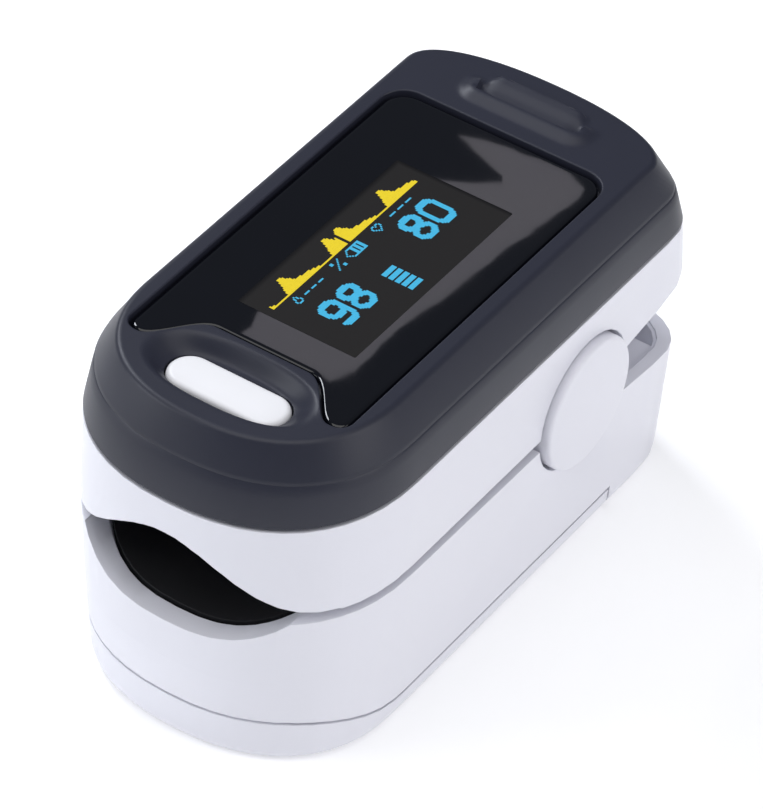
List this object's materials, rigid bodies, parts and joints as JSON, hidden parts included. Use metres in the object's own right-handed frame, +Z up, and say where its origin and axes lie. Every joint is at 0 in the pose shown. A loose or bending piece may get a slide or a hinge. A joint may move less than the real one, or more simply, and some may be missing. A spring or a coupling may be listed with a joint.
{
  "type": "fingertip pulse oximeter",
  "caption": "Clip-on fingertip pulse oximeter: spring-closed jaws on side pivots, soft finger pads, a display window, a push button and a sliding battery door.",
  "frame": {"origin": "under the middle of the closed part, on the surface that it stands on", "axes": "+Z up, Y along the length with the finger opening at -Y and the hinge towards +Y, X across"},
  "size_m": [0.0324, 0.0628, 0.0362],
  "materials": {
    "white_plastic": "satin white ABS",
    "black_plastic": "satin black ABS",
    "button_plastic": "satin white",
    "window_acrylic": "polished, tinted",
    "silicone": "soft matte",
    "detector_epoxy": "dark epoxy",
    "clear_lens": "clear, polished",
    "emitter_epoxy": "milky epoxy",
    "circuit_board": "solder mask",
    "chip_black": "moulded black",
    "plunger_plastic": "natural nylon",
    "display_glass": "polished glass",
    "flex_film": "polyimide film",
    "steel": "nickel plated",
    "cell_sleeve": "printed sleeve"
  },
  "bodies": {
    "lower_jaw": {"lower_housing": "white_plastic", "lower_finger_pad": "silicone", "photo_detector": "detector_epoxy", "detector_lens": "clear_lens", "sensor_ribbon": "flex_film", "hinge_pin_left": "steel", "hinge_pin_right": "steel", "hinge_cap_left": "white_plastic", "hinge_cap_right": "white_plastic", "torsion_spring_left": "steel", "torsion_spring_right": "steel", "battery_cell_left": "cell_sleeve", "battery_cell_right": "cell_sleeve", "battery_coil_left": "steel", "battery_coil_right": "steel", "battery_contact_left": "steel", "battery_contact_right": "steel", "battery_bridge": "steel"},
    "battery_door": {"battery_door": "white_plastic"},
    "upper_jaw": {"upper_housing": "white_plastic", "upper_finger_pad": "silicone", "emitter_led": "emitter_epoxy", "emitter_board": "circuit_board", "main_board": "circuit_board", "controller_chip": "chip_black", "amplifier_chip": "chip_black", "clock_crystal": "steel", "charge_inductor": "chip_black", "buzzer": "chip_black", "switch_body": "chip_black", "oled_panel": "display_glass", "oled_flex": "flex_film", "display_window": "window_acrylic", "top_cover": "black_plastic", "board_screw_left_front": "steel", "board_screw_right_front": "steel", "board_screw_left_back": "steel", "board_screw_right_back": "steel"},
    "power_button": {"power_button": "button_plastic", "switch_plunger": "plunger_plastic"}
  },
  "joints": [
    {"name": "jaw_hinge", "type": "hinge", "parent": "lower_jaw", "child": "upper_jaw", "pos_m": [0, 0.0105, 0.0185], "axis": [-1, 0, 0], "range_deg": [0, 22], "stiffness_Nm_per_rad": 0.2, "springref_deg": -34.38, "deforming": ["torsion_spring_left", "torsion_spring_right", "sensor_ribbon"]},
    {"name": "button_press", "type": "slide", "parent": "upper_jaw", "child": "power_button", "axis": [0, 0, -1], "range_m": [0, 0.0004], "stiffness_N_per_m": 3000, "springref_m": -0.0003},
    {"name": "door_slide", "type": "slide", "parent": "lower_jaw", "child": "battery_door", "axis": [0, -1, 0], "range_m": [0, 0.03]}
  ]
}
